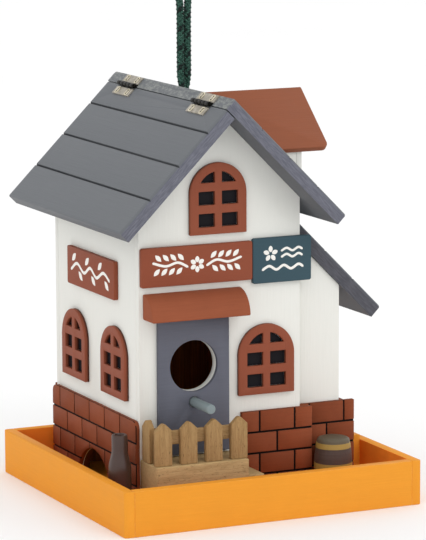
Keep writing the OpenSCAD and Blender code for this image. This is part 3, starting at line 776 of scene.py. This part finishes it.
def make_barrel():
    """A turned barrel with fine tool rings, three painted hoops and a low crown."""
    low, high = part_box("barrel")
    centre = Vector(((low.x + high.x) / 2, (low.y + high.y) / 2, low.z))
    tall = (high.z - low.z) / MM
    widest = (high.x - low.x) / 2 / MM

    def bulge(z):
        return widest - BARREL_SWELL * (2 * z / tall - 1) ** 2

    def ringed(radius, height):
        """A shallow scratch every few millimetres, where the turner's tool paused."""
        return radius - 0.10 * MM * max(0.0, math.cos(height / MM * math.tau / 2.6)) ** 6

    levels = [tall * k / 60 for k in range(1, 56)]
    shoulder = bulge(tall * 56 / 60)
    profile = [(0, 0.4), (8.8, 0.4), (9.4, 0)] + [(bulge(z) - 0.1, z) for z in levels]
    for k in range(7):
        turn = math.pi / 2 * k / 6
        profile.append((shoulder - 2.6 + 2.5 * math.cos(turn), tall * 56 / 60 + 1.9 * math.sin(turn)))
    profile += [(4, tall), (0, tall)]
    bm = bmesh.new()
    lathe(bm, [(r * MM, z * MM) for r, z in profile], centre, 72, ringed)
    for face in bm.faces:
        if face.calc_center_median().z > centre.z + (tall - 3.4) * MM:
            face.material_index = 2
    hoops = [(0.9, 4.9), (tall / 2 - 2.9, tall / 2 + 1.2), (tall - 6.6, tall - 3.4)]
    for bottom, top in hoops:
        rows = [bottom + (top - bottom) * k / 5 for k in range(6)]
        band = [(bulge(bottom) - 0.5, bottom)] + [(bulge(z) - 0.01, z) for z in rows]
        band += [(bulge(top) - 0.5, top), (bulge(bottom) - 0.5, bottom)]
        lathe(bm, [(r * MM, z * MM) for r, z in band], centre, 72, None, 1)
    lacquer = [satin_dark("barrel_lacquer", "54453f", 0.3, 0.5), brushed_on("barrel_band", "a68a48", 0.5),
               satin_dark("barrel_top", "625948", 0.5, 0.5)]
    made = piece("wooden_barrel", bm, lacquer)
    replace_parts(made, "barrel")


# ---------------------------------------------------------------- hinges

def dress_hinges():
    metal = plated_metal("hinge_plating")
    for node in ("hinge_leaf_ridge_front", "hinge_leaf_ridge_back", "hinge_leaf_lid_front",
                 "hinge_leaf_lid_back"):
        dress(node, metal, 0.15)
    for node in ("hinge_pin_front", "hinge_pin_back", "nails_ridge", "nails_lid"):
        dress(node, metal, 0.12)
    make_eyelets()


def make_eyelets():
    """The raised rim of the slot round each nail, in a lighter plating as a painted highlight, and a dark
    sheet of painted shadow in the slot inside it.
    """
    # Painted highlight: the rims get a lighter copy of the hinge plating.
    rim_highlight = plated_metal("eyelet_plating_highlight", "d6ccb2", "efe8d0")
    gap = brushed_on("eyelet_shadow", "1c1812", 0.7)
    up_slope = Vector((DIAG, 0, DIAG))
    out = Vector((-DIAG, 0, DIAG))
    along = Vector((0, 1, 0))
    for name, body, side in (("eyelets_ridge", "house", 1), ("eyelets_lid", "lid", -1)):
        bm = bmesh.new()
        for pin in ("hinge_pin_front", "hinge_pin_back"):
            low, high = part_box(pin)
            for way in (-1, 1):
                middle = (low + high) / 2 - out * PIN_ABOVE_LEAF * MM
                middle += (up_slope * side * NAIL_OFF_PIN + along * way * NAIL_OFF_MIDDLE) * MM
                rim = []
                for k in range(32):
                    a = math.tau * (k + 0.5) / 32
                    run = 1.6 * math.cos(a) + math.copysign(0.75, math.cos(a))
                    rim.append(middle + (up_slope * run + along * 1.6 * math.sin(a) + out * 0.12) * MM)
                hoop(bm, rim, 0.36 * MM, out)
                # Painted shadow: a dark sheet inside each rim.
                low_ring = [bm.verts.new(p - out * 0.2 * MM) for p in rim]
                top_ring = [bm.verts.new(p) for p in rim]
                slab(bm, low_ring, top_ring, 1)
        piece(name, bm, [rim_highlight, gap], body)


# ---------------------------------------------------------------- sign motifs

class Board:
    """A sign's face: points are given in millimetres from its middle, across and up."""

    def __init__(self, node, sideways):
        low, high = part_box(node)
        self.sideways = sideways
        self.face = low.x if sideways else low.y
        self.middle = (low + high) / 2
        self.bm = bmesh.new()

    def at(self, u, v, lift):
        if self.sideways:
            return Vector((self.face - lift * MM, self.middle.y - u * MM, self.middle.z + v * MM))
        return Vector((self.middle.x + u * MM, self.face - lift * MM, self.middle.z + v * MM))

    def stroke(self, points, width=1.7, lift=0.22):
        """A brush stroke with a low crown and round ends."""
        path = resampled([Vector((u, v, 0)) for u, v in points], 0.5)
        total = len(path) - 1
        rows = []
        for i, p in enumerate(path):
            ahead = (path[min(i + 1, total)] - path[max(i - 1, 0)]).normalized()
            off = Vector((-ahead.y, ahead.x, 0))
            near_end = min(i, total - i) * 0.5
            half = width / 2 * math.sqrt(max(0.04, 1 - max(0, 1 - near_end / (width / 2)) ** 2))
            row = []
            for k, rise in ((-1, 0), (-0.6, 0.8), (0, 1), (0.6, 0.8), (1, 0)):
                q = p + off * (k * half)
                row.append(self.bm.verts.new(self.at(q.x, q.y, -0.05 + (lift + 0.05) * rise)))
            rows.append(row)
        for a, b in zip(rows, rows[1:]):
            for k in range(4):
                self.bm.faces.new((a[k], a[k + 1], b[k + 1], b[k]))
            self.bm.faces.new((a[0], b[0], b[4], a[4]))
        self.bm.faces.new(rows[0])
        self.bm.faces.new(rows[-1])

    def blob(self, u, v, radius, stretch=1.0, turn=0.0, point=0.0, lift=0.25):
        """A dab of paint: round, or a leaf when it is stretched and pointed."""
        count = 20
        rim, shoulder = [], []
        for k in range(count):
            a = math.tau * k / count
            x = radius * stretch * math.cos(a)
            y = radius * math.sin(a) * (1 - point * math.cos(a) ** 2)
            for ring, share, rise in ((rim, 1, -0.05), (shoulder, 0.75, lift * 0.8)):
                du = share * (x * math.cos(turn) - y * math.sin(turn))
                dv = share * (x * math.sin(turn) + y * math.cos(turn))
                ring.append(self.bm.verts.new(self.at(u + du, v + dv, rise)))
        top = self.bm.verts.new(self.at(u, v, lift))
        for k in range(count):
            n = (k + 1) % count
            self.bm.faces.new((rim[k], rim[n], shoulder[n], shoulder[k]))
            self.bm.faces.new((shoulder[k], shoulder[n], top))
        self.bm.faces.new(rim)

    def done(self, name, material):
        piece(name, self.bm, [material])


def make_motifs():
    """Leaves, flowers and waves in white paint, where such a sign has its lettering."""
    white = brushed_on("motif_white", "f2f0ea", 0.5, 2)
    side = Board("sign_side", True)
    side.stroke([(-31, -2.5), (-21, 2.5), (-10, -2), (0, 2.5), (10, -2), (21, 2.5), (31, -1.5)], 2.2)
    for k, u in enumerate((-26, -15.5, -5, 5, 15.5, 26)):
        up = 1 if k % 2 == 0 else -1
        side.blob(u, 0.6 + up * 5.4, 2.1, 2.0, up * 0.7, 0.6)
    side.done("motif_side", white)

    front = Board("sign_front", False)
    for way in (-1, 1):
        front.stroke([(way * 6, -1), (way * 13, 2.2), (way * 21, 0.5), (way * 30, 3)])
        for k, u in enumerate((11, 16, 21, 26)):
            front.blob(way * u, 1.2 + 4.4, 1.5, 2.0, way * 0.8, 0.7)
            front.blob(way * (u + 1), 1.2 - 4.2, 1.5, 2.0, -way * 0.8, 0.7)
    for k in range(6):
        a = math.radians(60 * k + 30)
        front.blob(3.1 * math.cos(a), 0.3 + 3.1 * math.sin(a), 1.5, 1.35, a, 0.2)
    front.done("motif_front", white)

    corner = Board("sign_corner", False)
    for k in range(5):
        a = math.radians(72 * k + 90)
        corner.blob(-8 + 3 * math.cos(a), 4 + 3 * math.sin(a), 1.5, 1.4, a, 0.2)
    corner.stroke([(-1, 5.2), (3, 7), (7, 5.2), (11, 7), (14, 5.6)], 1.6)
    corner.stroke([(-1, 1.4), (3, 3.2), (7, 1.4), (11, 3.2), (14, 1.8)], 1.6)
    corner.stroke([(-14, -6), (-9, -3.6), (-4, -6), (1, -3.6), (6, -6), (11, -3.6), (14.5, -5.4)], 1.8)
    corner.done("motif_corner", white)


# ---------------------------------------------------------------- floor and light

def make_stage():
    mesh = bpy.data.meshes.new("floor")
    mesh.from_pydata([(-8, -8, 0), (8, -8, 0), (8, 8, 0), (-8, 8, 0)], [], [(0, 1, 2, 3)])
    floor = bpy.data.objects.new("floor", mesh)
    bpy.context.collection.objects.link(floor)
    f = Finish("floor_pale", 0.9, specular=0.1)
    cloud = f.noise((300, 300, 300), 2, 0.5)
    f.colour(f.mix(cloud, paint_rgb("fbfbfb"), paint_rgb("f6f6f6")))
    mesh.materials.append(f.material)


def area_light(name, place, target, size, power):
    data = bpy.data.lights.new(name, "AREA")
    data.size = size
    data.energy = power
    light = bpy.data.objects.new(name, data)
    light.location = place
    light.rotation_euler = (Vector(target) - Vector(place)).to_track_quat("-Z", "Y").to_euler()
    bpy.context.collection.objects.link(light)


def make_light():
    world = bpy.data.worlds.new("studio")
    world.use_nodes = True
    world.node_tree.nodes["Background"].inputs["Color"].default_value = (1, 1, 1, 1)
    world.node_tree.nodes["Background"].inputs["Strength"].default_value = 1.06
    bpy.context.scene.world = world
    area_light("key", (0.6, -2.4, 2.2), (0, 0, 0.12), 1.2, 9)
    bpy.context.scene.view_settings.view_transform = "Standard"


dress_tray()
dress_walls()
dress_roof()
dress_plinth()
dress_trim()
dress_fence()
dress_hinges()
make_panes()
make_bottle()
make_barrel()
make_motifs()
make_stage()
make_light()
